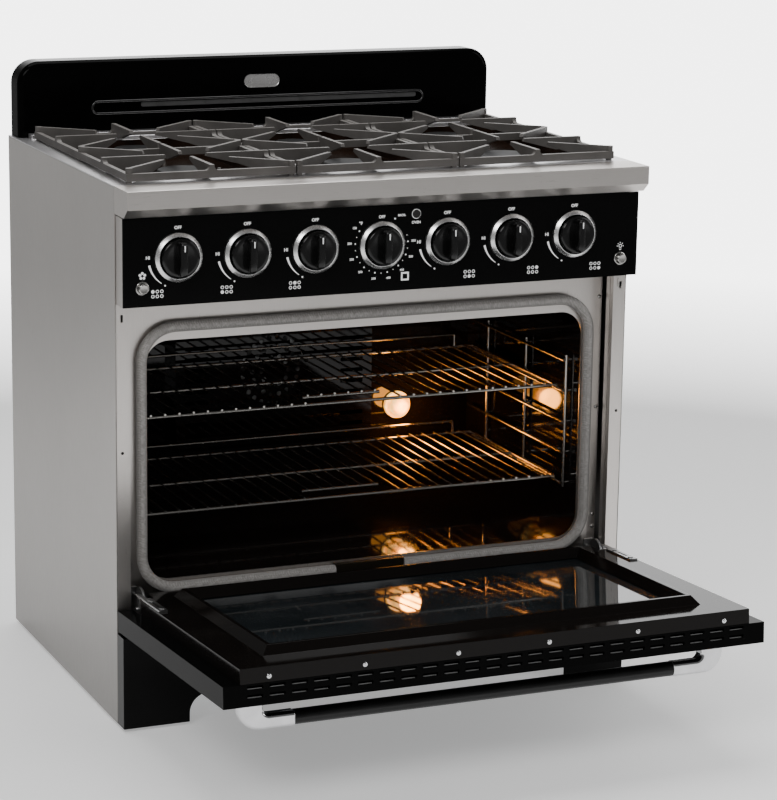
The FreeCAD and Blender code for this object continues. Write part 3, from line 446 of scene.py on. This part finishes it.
# ---- camera, light and floor ----
CAMERA_PLACE = (-1.79814, -4.26076, 1.58725)
CAMERA_YAW, CAMERA_PITCH, CAMERA_ROLL = (math.radians(a) for a in (23.330, 13.187, 0.891))
SENSOR_WIDTH = 36.0
FOCAL_LENGTH = 127.708


def add_camera():
    """The photograph's viewpoint: from the front left, a little above the cooktop."""
    data = bpy.data.cameras.new("camera")
    data.sensor_width = SENSOR_WIDTH
    data.lens = FOCAL_LENGTH
    camera = bpy.data.objects.new("camera", data)
    camera.location = CAMERA_PLACE
    aim = Matrix.Rotation(-CAMERA_YAW, 4, "Z")
    aim = aim @ Matrix.Rotation(math.pi / 2 - CAMERA_PITCH, 4, "X")
    camera.matrix_world = (
        Matrix.Translation(camera.location) @ aim @ Matrix.Rotation(CAMERA_ROLL, 4, "Z")
    )
    link(camera)
    bpy.context.scene.camera = camera


def add_panel_light(name, place, target, size, power):
    """A white rectangular panel that faces its target."""
    data = bpy.data.lights.new(name, "AREA")
    data.shape = "RECTANGLE"
    data.size, data.size_y = size
    data.energy = power
    lamp = bpy.data.objects.new(name, data)
    lamp.location = place
    lamp.rotation_euler = (Vector(target) - Vector(place)).to_track_quat("-Z", "Y").to_euler()
    link(lamp)


# The backdrop is brightest around one level direction, given from the back towards the right.
# Its strength rises between two cosines off that direction, and falls above the horizon.
BACKDROP_AZIMUTH = math.radians(36)
BACKDROP_COSINES = (0.64, 0.93)
BACKDROP_STRENGTHS = (0.3, 5.0)
HORIZON_BAND = (0.0, 0.12)
HORIZON_SHARES = (1.0, 0.45)
PANELS = {
    "key_panel": ((-2.6, -3.2, 3.4), (0, 0, 0.5), (2.4, 1.6), 110),
    "fill_panel": ((3.2, -2.4, 1.9), (0, 0, 0.5), (1.2, 2.2), 36),
    "top_panel": ((0.0, 0.4, 3.2), (0, 0, 0.8), (2.6, 1.6), 60),
}


def add_backdrop():
    """A white world that is brightest low down and right of the back."""
    world = bpy.data.worlds.new("studio")
    bpy.context.scene.world = world
    world.use_nodes = True
    nodes, links = world.node_tree.nodes, world.node_tree.links
    background = nodes["Background"]
    direction = nodes.new("ShaderNodeTexCoord").outputs["Generated"]
    toward = nodes.new("ShaderNodeVectorMath")
    toward.operation = "DOT_PRODUCT"
    links.new(direction, toward.inputs[0])
    toward.inputs[1].default_value = (math.sin(BACKDROP_AZIMUTH), math.cos(BACKDROP_AZIMUTH), 0)
    glow = ranged(
        nodes, links, toward.outputs["Value"], BACKDROP_COSINES, BACKDROP_STRENGTHS, "SMOOTHSTEP"
    )
    split = nodes.new("ShaderNodeSeparateXYZ")
    links.new(direction, split.inputs["Vector"])
    above = ranged(nodes, links, split.outputs["Z"], HORIZON_BAND, HORIZON_SHARES)
    strength = nodes.new("ShaderNodeMath")
    strength.operation = "MULTIPLY"
    links.new(glow, strength.inputs[0])
    links.new(above, strength.inputs[1])
    links.new(strength.outputs["Value"], background.inputs["Strength"])
    background.inputs["Color"].default_value = (1, 1, 1, 1)


def add_floor():
    """A plain pale floor."""
    mesh = bmesh.new()
    bmesh.ops.create_circle(mesh, cap_ends=True, segments=96, radius=FLOOR_RADIUS)
    data = bpy.data.meshes.new("floor")
    mesh.to_mesh(data)
    mesh.free()
    data.materials.append(floor_paint("pale_floor"))
    floor = bpy.data.objects.new("floor", data)
    link(floor)


OVEN_LIGHT_POWER = 0.8
OVEN_LIGHT_TONE = (1.0, 0.36, 0.05)
OVEN_LIGHT_RADIUS = 0.02
OVEN_LIGHT_GAP = 0.03


def add_oven_light():
    """The warm light that the oven lamp throws, just in front of its glass."""
    low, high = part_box("oven_lamp")
    data = bpy.data.lights.new("oven_lamp_light", "POINT")
    data.energy = OVEN_LIGHT_POWER
    data.color = OVEN_LIGHT_TONE
    data.shadow_soft_size = OVEN_LIGHT_RADIUS
    lamp = bpy.data.objects.new("oven_lamp_light", data)
    lamp.location = ((low.x + high.x) / 2, low.y - OVEN_LIGHT_GAP, (low.z + high.z) / 2)
    link(lamp)


add_camera()
add_backdrop()
add_floor()
for name, settings in PANELS.items():
    add_panel_light(name, *settings)
add_oven_light()


# ---- turned and cut pieces ----
def spoke(turn):
    """A unit vector in an upright plane that faces the front, turned from three o'clock."""
    return Vector((math.cos(turn), 0, math.sin(turn)))


def bridge(mesh, rings):
    """Joins each ring of corners to the next with a band of four-sided faces."""
    for a, b in zip(rings, rings[1:]):
        for k in range(len(a)):
            n = (k + 1) % len(a)
            mesh.faces.new((a[k], a[n], b[n], b[k]))


def lathe(mesh, centre, outline, segments):
    """Turns an outline of (radius, height in front of centre) about a front-to-back axis."""
    rings = []
    for radius, out in outline:
        if radius < 1e-9:
            rings.append([mesh.verts.new(centre + Vector((0, -out, 0)))])
            continue
        ring = []
        for k in range(segments):
            turn = 2 * math.pi * k / segments
            ring.append(mesh.verts.new(
                centre + Vector((radius * math.cos(turn), -out, radius * math.sin(turn)))
            ))
        rings.append(ring)
    for a, b in zip(rings, rings[1:]):
        for k in range(max(len(a), len(b))):
            corners = [a[k % len(a)], a[(k + 1) % len(a)], b[(k + 1) % len(b)], b[k % len(b)]]
            unique = list(dict.fromkeys(corners))
            if len(unique) > 2:
                mesh.faces.new(unique)


def arc_outline(centre, radius, start, end, steps):
    """Points (radius, height) along an arc in a turned outline, angles in degrees."""
    points = []
    for k in range(steps + 1):
        turn = math.radians(start + (end - start) * k / steps)
        points.append((centre[0] + radius * math.cos(turn), centre[1] + radius * math.sin(turn)))
    return points


def centre_of(node):
    """The middle of a CAD node's box."""
    low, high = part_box(node)
    return (low + high) / 2


FASCIA_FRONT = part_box("control_fascia")[0].y
KNOBS = ["knob_%d" % n for n in range(1, 8)]


def add_bezel(node):
    """A polished ring with a rounded crest and a straight inner wall."""
    place = centre_of(node)
    centre = Vector((place.x, FASCIA_FRONT, place.z))
    outline = [(0.0395, 0.0), (0.0395, 0.0040)]
    outline += arc_outline((0.0383, 0.0046), 0.0012, 0, 50, 4)
    outline += arc_outline((0.0340, 0.0090), 0.0010, 50, 120, 4)
    outline += [(0.0328, 0.0092), (0.0325, 0.0080), (0.0325, 0.0005)]
    mesh = bmesh.new()
    lathe(mesh, centre, outline, 96)
    piece = keep(mesh, "bezel_" + node, "bezel", CABINET, 50)
    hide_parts("knob_bezels")


GRIP_HALF = 0.0275
GRIP_END = 0.0288
GRIP_WAIST = 0.0062
GRIP_FLARE = 0.0034


def add_knob(node):
    """A glossy dished disc with a waisted upright grip and a bright pointer line."""
    low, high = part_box(node)
    centre = Vector(((low.x + high.x) / 2, high.y, (low.z + high.z) / 2))
    depth = high.y - low.y
    outline = [(0.0, 0.0), (0.0295, 0.0), (0.031, 0.0012), (0.031, 0.0085)]
    outline += arc_outline((0.0285, 0.0095), 0.0025, 0, 80, 5)
    outline += [(0.0255, 0.0125), (0.0215, 0.0118), (0.0, 0.0112)]
    mesh = bmesh.new()
    lathe(mesh, centre, outline, 96)
    piece = keep(mesh, node + "_skirt", "knob", node, 60)
    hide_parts(node)
    grip = bmesh.new()
    rows, columns = 14, 10
    grid = []
    for r in range(rows + 1):
        along = -1 + 2 * r / rows
        height = GRIP_HALF * math.sin(along * math.pi / 2)
        waist = GRIP_WAIST + GRIP_FLARE * along * along
        waist *= math.sqrt(max(0.0, 1 - (abs(height) / GRIP_END) ** 6))
        row = []
        for c in range(columns + 1):
            across = -1 + 2 * c / columns
            crown = 1 - 0.10 * across ** 2 - 0.16 * abs(across) ** 6
            out = 0.011 + (depth - 0.0112) * crown * (1 - 0.22 * along ** 4)
            row.append(grip.verts.new(centre + Vector((waist * across, -out, height))))
        grid.append(row)
    for r in range(rows):
        for c in range(columns):
            grip.faces.new((grid[r][c], grid[r][c + 1], grid[r + 1][c + 1], grid[r + 1][c]))
    walls = bmesh.ops.extrude_edge_only(grip, edges=[e for e in grip.edges if e.is_boundary])
    for vert in (v for v in walls["geom"] if isinstance(v, bmesh.types.BMVert)):
        vert.co.y = centre.y - 0.0105
    bmesh.ops.remove_doubles(grip, verts=grip.verts, dist=1e-5)
    bmesh.ops.recalc_face_normals(grip, faces=grip.faces)
    handle = keep(grip, node + "_grip", "knob", node, 50)
    crease = handle.modifiers.new("crest", "BEVEL")
    crease.width = 0.0009
    crease.segments = 3
    crease.angle_limit = math.radians(45)
    line = bmesh.new()
    top = centre + Vector((0, 0.0012 - depth, 0.0185))
    add_slab(line, top, 0.0016, 0.0100, 0.0024)
    keep(line, node + "_pointer", "ink", node)


def add_slab(mesh, centre, width, height, depth):
    """A small rounded-corner bar that faces the front."""
    radius = min(width, height) * 0.35
    outline = []
    for sx, sz, start in ((1, 1, 0), (-1, 1, 90), (-1, -1, 180), (1, -1, 270)):
        for k in range(4):
            turn = math.radians(start + 30 * k)
            outline.append((
                sx * (width / 2 - radius) + radius * math.cos(turn),
                sz * (height / 2 - radius) + radius * math.sin(turn),
            ))
    front = [mesh.verts.new(centre + Vector((x, -depth / 2, z))) for x, z in outline]
    back = [mesh.verts.new(centre + Vector((x, depth / 2, z))) for x, z in outline]
    mesh.faces.new(front)
    mesh.faces.new(reversed(back))
    for k in range(len(outline)):
        n = (k + 1) % len(outline)
        mesh.faces.new((front[k], back[k], back[n], front[n]))


# ---- printed legends ----
INK_OUT = 0.00012


def on_fascia(x, z):
    """A point on the printed face from x and z in millimetres."""
    return Vector((x * MM, FASCIA_FRONT - INK_OUT, z * MM))


def printed_dot(mesh, place, radius, hole=0.0, segments=20):
    """A printed disc, or a ring where a hole is given."""
    outer, inner = [], []
    for k in range(segments):
        ray = spoke(2 * math.pi * k / segments)
        outer.append(mesh.verts.new(place + ray * radius * MM))
        if hole:
            inner.append(mesh.verts.new(place + ray * hole * MM))
    if not hole:
        mesh.faces.new(outer)
        return
    for k in range(segments):
        n = (k + 1) % segments
        mesh.faces.new((outer[k], outer[n], inner[n], inner[k]))


def printed_arc(mesh, centre, radius, start, end, thick_start, thick_end, steps=24):
    """A tapering arc: angles in degrees anticlockwise from three o'clock."""
    rails = []
    for k in range(steps + 1):
        part = k / steps
        half = (thick_start + (thick_end - thick_start) * part) / 2
        ray = spoke(math.radians(start + (end - start) * part))
        rails.append([
            mesh.verts.new(centre + ray * (radius + side * half) * MM) for side in (-1, 1)
        ])
    for (a, b), (c, d) in zip(rails, rails[1:]):
        mesh.faces.new((a, b, d, c))


def printed_words(name, words, place, height):
    """A word or number in a plain sans-serif letter, centred on a place."""
    curve = bpy.data.curves.new(name + "_outline", "FONT")
    curve.body = words
    curve.size = height * MM * 1.4
    curve.offset = height * MM * 0.035
    curve.align_x = "CENTER"
    curve.align_y = "CENTER"
    carrier = bpy.data.objects.new(name + "_outline", curve)
    carrier.location = place
    carrier.rotation_euler = (math.pi / 2, 0, 0)
    link(carrier)
    bpy.context.view_layer.update()
    made = bpy.data.meshes.new_from_object(carrier)
    made.transform(carrier.matrix_world)
    mesh = bmesh.new()
    mesh.from_mesh(made)
    bpy.data.objects.remove(carrier)
    bpy.data.meshes.remove(made)
    keep(mesh, name, "ink", CABINET)


# Printed sizes are in millimetres.
ICON_PITCH_X, ICON_PITCH_Z = 7.4, 7.6
ICON_RADIUS, ICON_HOLE = 2.8, 1.8
ICON_LEFT, ICON_RIGHT, ICON_DROP = -34.5, 41.5, 57.0
SWEEP_RADIUS = 49.0
DIAL_START, DIAL_STEP = 148, 27.0
DIAL_NUMBERS = range(150, 551, 50)
TICK_RADIUS, NUMBER_RADIUS = 46.5, 56.5


def burner_icon(mesh, x, z, filled):
    """Six rings in two rows of three, the knob's own burner filled in."""
    for column in range(3):
        for row in range(2):
            place = on_fascia(x + (column - 1) * ICON_PITCH_X, z + (0.5 - row) * ICON_PITCH_Z)
            hole = 0.0 if (column, row) == filled else ICON_HOLE
            printed_dot(mesh, place, ICON_RADIUS, hole)


FILLED = {1: (0, 0), 2: (0, 1), 3: (1, 0), 5: (1, 1), 6: (2, 0), 7: (2, 1)}


def add_burner_legends():
    """OFF, HI, a tapering sweep and a burner icon round each burner's knob."""
    mesh = bmesh.new()
    for number, filled in FILLED.items():
        place = centre_of("knob_%d" % number) / MM
        aside = ICON_LEFT if number < 4 else ICON_RIGHT
        burner_icon(mesh, place.x + aside, place.z - ICON_DROP, filled)
        centre = on_fascia(place.x, place.z)
        printed_arc(mesh, centre, SWEEP_RADIUS, 193, 236, 3.6, 1.0)
        printed_dot(mesh, centre + Vector((-21.5 * MM, 0, -44.5 * MM)), 1.4)
        printed_words("legend_off_%d" % number, "OFF", on_fascia(place.x, place.z + 47), 5.0)
        printed_words("legend_high_%d" % number, "HI", on_fascia(place.x - 50, place.z + 1), 5.2)
    keep(mesh, "burner_legends", "ink", CABINET)


def add_oven_legends():
    """The thermostat's dial: a dot and a number for each step, then the broil mark."""
    place = centre_of("knob_4") / MM
    centre = on_fascia(place.x, place.z)
    mesh = bmesh.new()
    printed_words("legend_off_4", "OFF", on_fascia(place.x, place.z + 46), 4.6)
    for k, number in enumerate(DIAL_NUMBERS):
        ray = spoke(math.radians(DIAL_START + k * DIAL_STEP))
        printed_dot(mesh, centre + ray * TICK_RADIUS * MM, 1.3)
        printed_words("legend_%d" % number, str(number), centre + ray * NUMBER_RADIUS * MM, 3.6)
        ray = spoke(math.radians(DIAL_START + (k + 0.5) * DIAL_STEP))
        printed_dot(mesh, centre + ray * TICK_RADIUS * MM, 0.8)
    printed_words("legend_degrees", "\u00b0F", on_fascia(place.x - 37, place.z + 37), 5.0)
    printed_words("legend_broil", "BROIL", on_fascia(place.x + 35, place.z + 47), 3.6)
    printed_dot(mesh, on_fascia(place.x + 23, place.z + 42), 1.5)
    square = on_fascia(place.x + 42, place.z - 54)
    for turn in (0, 90, 180, 270):
        side = Matrix.Rotation(math.radians(turn), 3, "Y")
        corners = [(-7, 7), (7, 7), (4.2, 4.2), (-4.2, 4.2)]
        mesh.faces.new([
            mesh.verts.new(square + side @ Vector((x * MM, 0, z * MM))) for x, z in corners
        ])
    keep(mesh, "oven_legends", "ink", CABINET)
    lens = centre_of("oven_indicator") / MM
    ring = bmesh.new()
    printed_dot(ring, on_fascia(lens.x, lens.z), 8.0, 7.1, 40)
    keep(ring, "indicator_ring", "ink", CABINET)
    printed_words("legend_oven", "OVEN", on_fascia(lens.x, lens.z - 14), 4.2)


def add_button_legends():
    """A small fan over one button and a small lamp over the other."""
    mesh = bmesh.new()
    fan = centre_of("fan_button") / MM
    fan_centre = on_fascia(fan.x, fan.z + 20)
    for k in range(5):
        printed_dot(mesh, fan_centre + spoke(math.radians(90 + 72 * k)) * 4.2 * MM, 2.2)
    light = centre_of("light_button") / MM
    bulb = on_fascia(light.x, light.z + 21)
    printed_dot(mesh, bulb, 3.0, 2.0)
    for k in range(5):
        printed_dot(mesh, bulb + spoke(math.radians(180 * k / 4)) * 5.6 * MM, 0.8)
    printed_arc(mesh, bulb + Vector((0, 0, -4.6 * MM)), 1.6, 180, 360, 0.9, 0.9, 8)
    keep(mesh, "button_legends", "ink", CABINET)


# ---- small fittings ----
def add_button(node):
    """A domed metal button in a thin collar."""
    low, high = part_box(node)
    centre = Vector(((low.x + high.x) / 2, high.y, (low.z + high.z) / 2))
    length = high.y - low.y
    outline = [(0.0, 0.0), (0.0085, 0.0), (0.0085, length - 0.0022)]
    outline += arc_outline((0.0063, length - 0.0022), 0.0022, 0, 80, 5)
    outline += [(0.0052, length - 0.0006), (0.0, length - 0.0001)]
    mesh = bmesh.new()
    lathe(mesh, centre, outline, 48)
    piece = keep(mesh, node + "_cap", "stud", node, 60)
    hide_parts(node)
    collar = bmesh.new()
    face = Vector((centre.x, FASCIA_FRONT, centre.z))
    rim = [(0.0112, 0.0), (0.0112, 0.0008), (0.0105, 0.0016), (0.0092, 0.0016), (0.0091, 0.0)]
    lathe(collar, face, rim, 48)
    keep(collar, node + "_collar", "stud", CABINET, 60)


def add_badge():
    """A plain oval plate with a raised rim and three fine ribs, with no mark on it."""
    low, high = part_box("badge")
    centre = Vector((0, high.y, (low.z + high.z) / 2))
    half_width, half_height = (high.x - low.x) / 2, (high.z - low.z) / 2
    mesh = bmesh.new()
    profile = [
        (1.0, 0.0), (1.0, 0.0016), (0.975, 0.0025), (0.93, 0.0025), (0.90, 0.0014), (0.0, 0.0014),
    ]
    rings = []
    count = 96
    for scale, out in profile:
        ring = []
        for k in range(count):
            turn = 2 * math.pi * k / count
            straight = half_width - half_height
            x = half_height * scale * math.cos(turn) + math.copysign(straight, math.cos(turn))
            z = half_height * scale * math.sin(turn)
            if scale == 0.0:
                x = math.copysign(straight, math.cos(turn))
            ring.append(mesh.verts.new(centre + Vector((x, -out, z))))
        rings.append(ring)
    bridge(mesh, rings)
    for k in (-1, 0, 1):
        add_slab(mesh, centre + Vector((0, -0.0019, k * 0.0045)), 0.040, 0.0014, 0.0012)
    bmesh.ops.remove_doubles(mesh, verts=mesh.verts, dist=1e-6)
    piece = keep(mesh, "plain_badge", "bezel", CABINET, 40)
    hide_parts("badge")


# ---- door details ----
def add_screws():
    """Six pan-head screws with a round recess along the door's tip."""
    low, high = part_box("door_screws")
    count, radius = 6, 0.004
    mesh = bmesh.new()
    first, last = low.x + radius, high.x - radius
    height = (low.z + high.z) / 2
    for k in range(count):
        x = first + (last - first) * k / (count - 1)
        centre = Vector((x, high.y, height))
        outline = [(radius, 0.0), (radius, 0.0008), (0.0034, 0.0015), (0.0020, 0.0019)]
        outline += [(0.0010, 0.0019), (0.0009, 0.0010), (0.0, 0.0010)]
        lathe(mesh, centre, outline, 28)
    piece = keep(mesh, "door_screw_heads", "chrome", "door", 50)
    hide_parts("door_screws")


LOUVRE_ROWS = (0.0085, 0.0220)
LOUVRE_COUNT = 24
LOUVRE_PITCH = 0.0352


def add_louvres():
    """Slats behind the cooling slots: real louvres, given a pale grey that is a painted glint seen
    through the slots.
    """
    low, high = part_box("door_shell")
    mesh = bmesh.new()
    for row in LOUVRE_ROWS:
        for k in range(LOUVRE_COUNT):
            x = (k - (LOUVRE_COUNT - 1) / 2) * LOUVRE_PITCH
            place = Vector((x, low.y + 0.0042 + 0.06 * row, high.z - row))
            add_slab(mesh, place, 0.023, 0.0018, 0.0012)
    keep(mesh, "door_louvre_slats", "slat", "door")


FACE_SCREW_X = 0.4255
FACE_SCREW_HEIGHTS = (0.246, 0.268, 0.461, 0.655)


def add_frame_screws():
    """Small screws that hold the face sheet and the gasket down both sides."""
    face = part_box("oven_front_frame")[0].y
    mesh = bmesh.new()
    for side in (-1, 1):
        for height in FACE_SCREW_HEIGHTS:
            centre = Vector((side * FACE_SCREW_X, face, height))
            outline = [(0.0036, 0.0), (0.0034, 0.0010), (0.0022, 0.0018), (0.0, 0.0020)]
            lathe(mesh, centre, outline, 20)
    keep(mesh, "face_screws", "stud", CABINET, 50)


HOOK_WIRE = 0.0008
HOOK_SIDES = 8


def add_post_fittings():
    """The small hook at the top of the right-hand channel."""
    low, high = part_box("front_posts")
    top = Vector((high.x - 0.014, low.y - 0.0009, 0.694))
    mesh = bmesh.new()
    path = [Vector((0, 0, 0)), Vector((0, 0, -0.014)), Vector((0.003, 0, -0.018)),
            Vector((0.007, 0, -0.014)), Vector((0.007, 0, -0.006))]
    rings = []
    for point in path:
        ring = []
        for k in range(HOOK_SIDES):
            turn = 2 * math.pi * k / HOOK_SIDES
            offset = Vector((HOOK_WIRE * math.cos(turn), HOOK_WIRE * math.sin(turn), 0))
            ring.append(mesh.verts.new(top + point + offset))
        rings.append(ring)
    bridge(mesh, rings)
    mesh.faces.new(rings[0])
    mesh.faces.new(list(reversed(rings[-1])))
    keep(mesh, "post_hook", "stud", CABINET, 60)


VENT_HALF = 0.315
VENT_LOW, VENT_HIGH = 0.933, 0.951
STRIP_HEIGHT = 0.9445


def add_vent():
    """The rolled lip around the splash-back's slot and the grey strip set behind it."""
    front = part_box("badge")[1].y
    middle, bend = (VENT_LOW + VENT_HIGH) / 2, (VENT_HIGH - VENT_LOW) / 2
    path = []
    for side in (1, -1):
        for k in range(13):
            turn = math.radians(15 * k - 90 * side)
            path.append((
                side * (VENT_HALF - bend) + bend * math.cos(turn), middle + bend * math.sin(turn),
                spoke(turn),
            ))
    mesh = bmesh.new()
    radius, sides = 0.0022, 10
    loops = []
    for x, z, outward in path:
        loop = []
        for k in range(sides):
            turn = 2 * math.pi * k / sides
            offset = outward * radius * math.cos(turn)
            offset += Vector((0, radius * 0.8 * math.sin(turn), 0))
            loop.append(mesh.verts.new(Vector((x, front + 0.0006, z)) + outward * 0.0016 + offset))
        loops.append(loop)
    bridge(mesh, loops + loops[:1])
    bmesh.ops.recalc_face_normals(mesh, faces=mesh.faces)
    keep(mesh, "vent_lip", "lip", CABINET, 60)
    strip = bmesh.new()
    add_slab(strip, Vector((0.04, front + 0.006, STRIP_HEIGHT)), 0.53, 0.008, 0.002)
    for k in range(6):
        place = Vector((-0.19 + k * 0.09, front + 0.0045, STRIP_HEIGHT))
        add_slab(strip, place, 0.010, 0.004, 0.002)
    keep(strip, "vent_strip", "strip", CABINET)


add_vent()
add_screws()
add_louvres()
add_frame_screws()
add_post_fittings()
for knob in KNOBS:
    add_bezel(knob)
    add_knob(knob)
add_burner_legends()
add_oven_legends()
add_button_legends()
for button in ("fan_button", "light_button"):
    add_button(button)
add_badge()

# Edge widths in metres and the nodes that get them. The widest edges take three segments.
WIDE_EDGE = 0.002
SOFTENED = {
    0.0012: ["side_panel_left", "side_panel_right", "kick_panel", "door_shell", "control_fascia"],
    0.0022: ["door_inner_pan", "handle_brackets"],
    0.0009: ["grate_left", "grate_centre", "grate_right", "front_posts", "hinge_arms",
             "hinge_receivers", "gasket_clip", "cooktop_deck", "burner_pans"],
    0.0006: ["control_box", "base_pan", "fan_cover", "convection_fan", "back_panel"],
}
for width, nodes in SOFTENED.items():
    for node in nodes:
        rounded_copy(node, width, 3 if width > WIDE_EDGE else 2)
